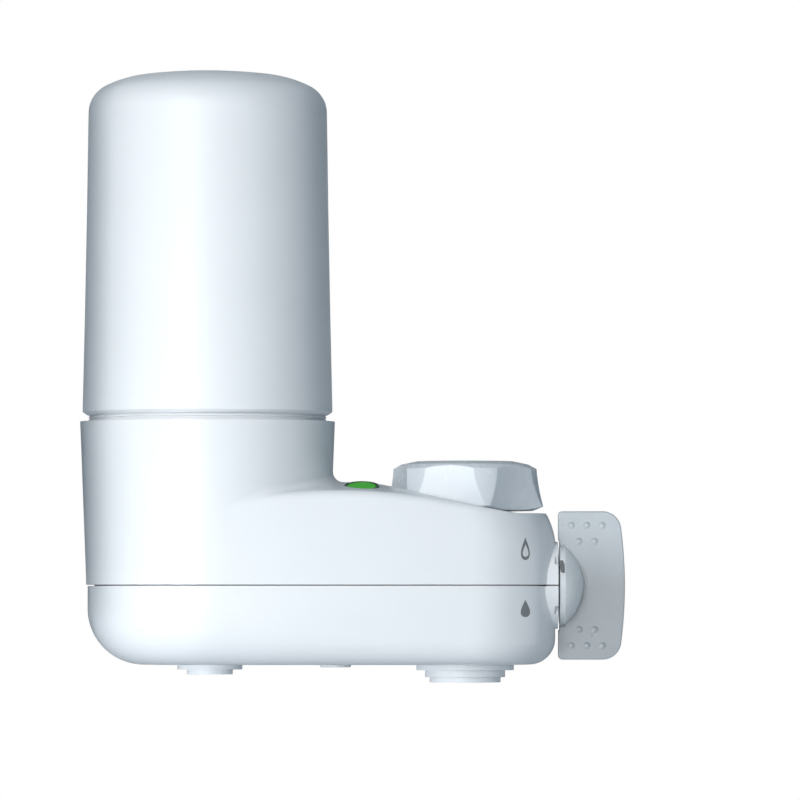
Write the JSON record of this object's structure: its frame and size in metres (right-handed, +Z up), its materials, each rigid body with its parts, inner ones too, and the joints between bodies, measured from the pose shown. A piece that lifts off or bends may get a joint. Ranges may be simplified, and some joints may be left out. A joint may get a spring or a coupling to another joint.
{
  "type": "faucet mount water filter",
  "caption": "White faucet mount water filter with an upright domed cartridge, a swivel collar nut, a clear selector wing and filtered and unfiltered outlets.",
  "frame": {"origin": "centre of the collar thread's mouth, on the collar nut's top face", "axes": "+Z up along the collar's thread, +X from the filter cup towards the selector, -Y towards the viewer of the picture"},
  "size_m": [0.1565, 0.0737, 0.1756],
  "materials": {
    "white_gloss_plastic": "gloss",
    "white_satin_plastic": "satin",
    "grey_white_plastic": "satin",
    "clear_grey_plastic": "gloss",
    "green_lens_plastic": "gloss",
    "dark_green_plastic": "satin",
    "clear_led_plastic": "gloss",
    "circuit_board": "satin",
    "nickel_cell": "satin",
    "natural_acetal": "satin",
    "black_rubber": "matte",
    "stainless_steel": "satin",
    "spring_steel": "gloss",
    "carbon_block": "matte",
    "white_fleece": "matte",
    "grey_print": "satin",
    "silicone_tube": "satin"
  },
  "bodies": {
    "housing": {"upper_housing": "white_gloss_plastic", "lower_housing": "white_gloss_plastic", "screw_plug": "white_gloss_plastic", "housing_screws": "stainless_steel", "inlet_spigot": "natural_acetal", "spigot_seal": "black_rubber", "inlet_screen": "stainless_steel", "collar_washer": "black_rubber", "valve_body": "natural_acetal", "valve_cap": "natural_acetal", "feed_tube": "silicone_tube", "port_plate": "natural_acetal", "outlet_socket": "natural_acetal", "filtered_nozzle": "white_satin_plastic", "filtered_screen": "stainless_steel", "stream_nozzle": "white_satin_plastic", "spray_plate": "white_satin_plastic", "indicator_bezel": "dark_green_plastic", "indicator_lens": "green_lens_plastic", "indicator_lamp": "clear_led_plastic", "indicator_board": "circuit_board", "indicator_cell": "nickel_cell", "release_spring": "spring_steel"},
    "collar": {"collar_nut": "grey_white_plastic"},
    "selector": {"selector_hub": "white_gloss_plastic", "selector_wing": "clear_grey_plastic", "valve_spool": "natural_acetal", "spool_seals": "black_rubber"},
    "cartridge": {"cartridge_shell": "white_satin_plastic", "cartridge_base": "white_satin_plastic", "outlet_stub": "white_satin_plastic", "stub_seal": "black_rubber", "carbon_block": "carbon_block", "prefilter_wrap": "white_fleece", "top_cap": "white_satin_plastic", "bottom_cap": "white_satin_plastic"},
    "release": {"release_button": "white_gloss_plastic", "catch_plate": "natural_acetal"}
  },
  "joints": [
    {"name": "collar_turn", "type": "hinge", "parent": "housing", "child": "collar", "pos_m": [0, 0, 0], "axis": [0, 0, 1], "continuous": true},
    {"name": "cartridge_lift", "type": "slide", "parent": "housing", "child": "cartridge", "axis": [0, 0, 1], "range_m": [0, 0.048]},
    {"name": "selector_turn", "type": "hinge", "parent": "housing", "child": "selector", "pos_m": [0, 0, -0.0356], "axis": [1, 0, 0], "range_deg": [0, 120]},
    {"name": "release_press", "type": "slide", "parent": "housing", "child": "release", "axis": [0, -1, 0], "range_m": [0, 0.002], "stiffness_N_per_m": 600, "springref_m": -0.003, "deforming": ["release_spring"]}
  ]
}
